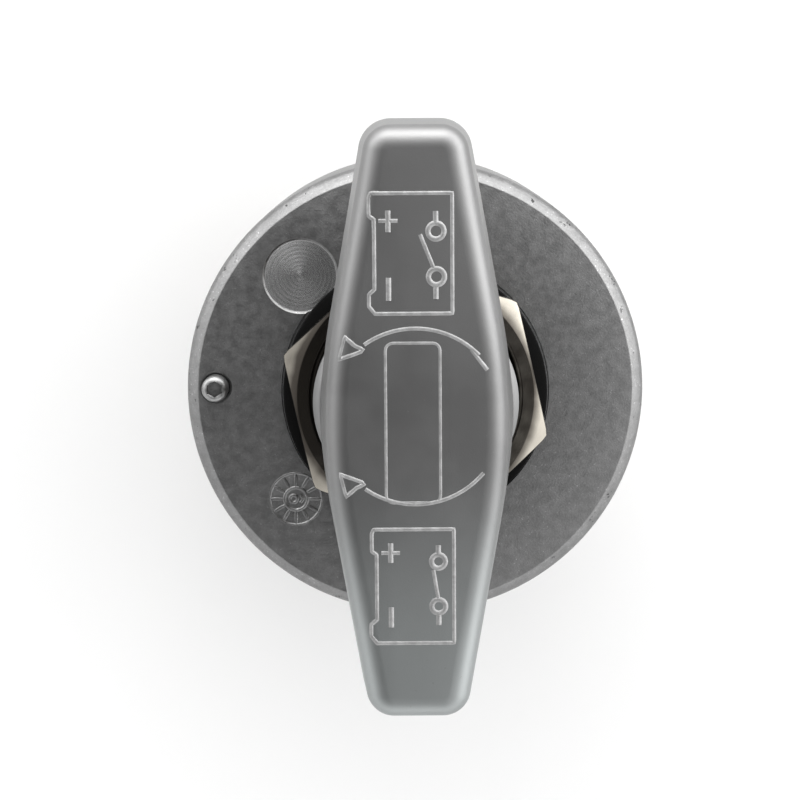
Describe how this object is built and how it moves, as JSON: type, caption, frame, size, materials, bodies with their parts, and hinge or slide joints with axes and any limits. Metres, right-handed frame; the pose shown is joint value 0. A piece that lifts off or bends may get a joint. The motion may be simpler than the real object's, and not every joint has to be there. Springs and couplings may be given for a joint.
{
  "type": "battery isolator switch",
  "caption": "Panel-mounted battery isolator switch: a cast lever on a round housing turns a quarter turn to push a contact bridge onto two rear terminal studs.",
  "frame": {"origin": "centre of the threaded neck, in the plane of the housing's front face", "axes": "+Z out of the panel along the lever's turning axis, +Y along the lever when it is off, +X to the right seen from the front"},
  "size_m": [0.07, 0.083, 0.104],
  "materials": {
    "cast_metal": "die-cast, satin on the lever and fine sand texture on the housing",
    "plated_metal": "bright nickel plate",
    "spring_steel": "plain steel, lightly oiled",
    "copper": "copper, slightly dulled",
    "silver": "silver contact alloy",
    "brass": "plain brass",
    "rubber": "matt black",
    "phenolic": "moulded black phenolic"
  },
  "bodies": {
    "housing": {"base_plate": "phenolic", "base_screw_1": "plated_metal", "base_screw_2": "plated_metal", "base_screw_3": "plated_metal", "base_screw_4": "plated_metal", "base_seal": "rubber", "base_washer_left": "plated_metal", "base_washer_right": "plated_metal", "fixed_contact_left": "silver", "fixed_contact_right": "silver", "housing": "cast_metal", "locating_peg": "plated_metal", "panel_gasket": "rubber", "panel_nut": "plated_metal", "plain_washer_left": "plated_metal", "plain_washer_right": "plated_metal", "spring_washer_left": "spring_steel", "spring_washer_right": "spring_steel", "stud_nut_left": "plated_metal", "stud_nut_right": "plated_metal", "terminal_nut_left": "plated_metal", "terminal_nut_right": "plated_metal", "terminal_stud_left": "copper", "terminal_stud_right": "copper", "thrust_washer": "brass"},
    "lever": {"lever_handle": "cast_metal", "handle_roll_pin": "spring_steel", "shaft": "spring_steel", "shaft_o_ring": "rubber", "cam_pin": "spring_steel"},
    "carrier": {"contact_carrier": "phenolic", "contact_spring_washer": "spring_steel", "contact_bridge": "copper", "bridge_contact_left": "silver", "bridge_contact_right": "silver", "bridge_clip": "spring_steel"}
  },
  "joints": [
    {"name": "lever_turn", "type": "hinge", "parent": "housing", "child": "lever", "pos_m": [0, 0, 0], "axis": [0, 0, -1], "range_deg": [0, 90]},
    {"name": "contact_lift", "type": "slide", "parent": "housing", "child": "carrier", "axis": [0, 0, -1], "range_m": [0, 0.003]}
  ],
  "couplings": [
    {"joint": "contact_lift", "follows": "lever_turn", "m_per_rad": 0.0019098}
  ]
}
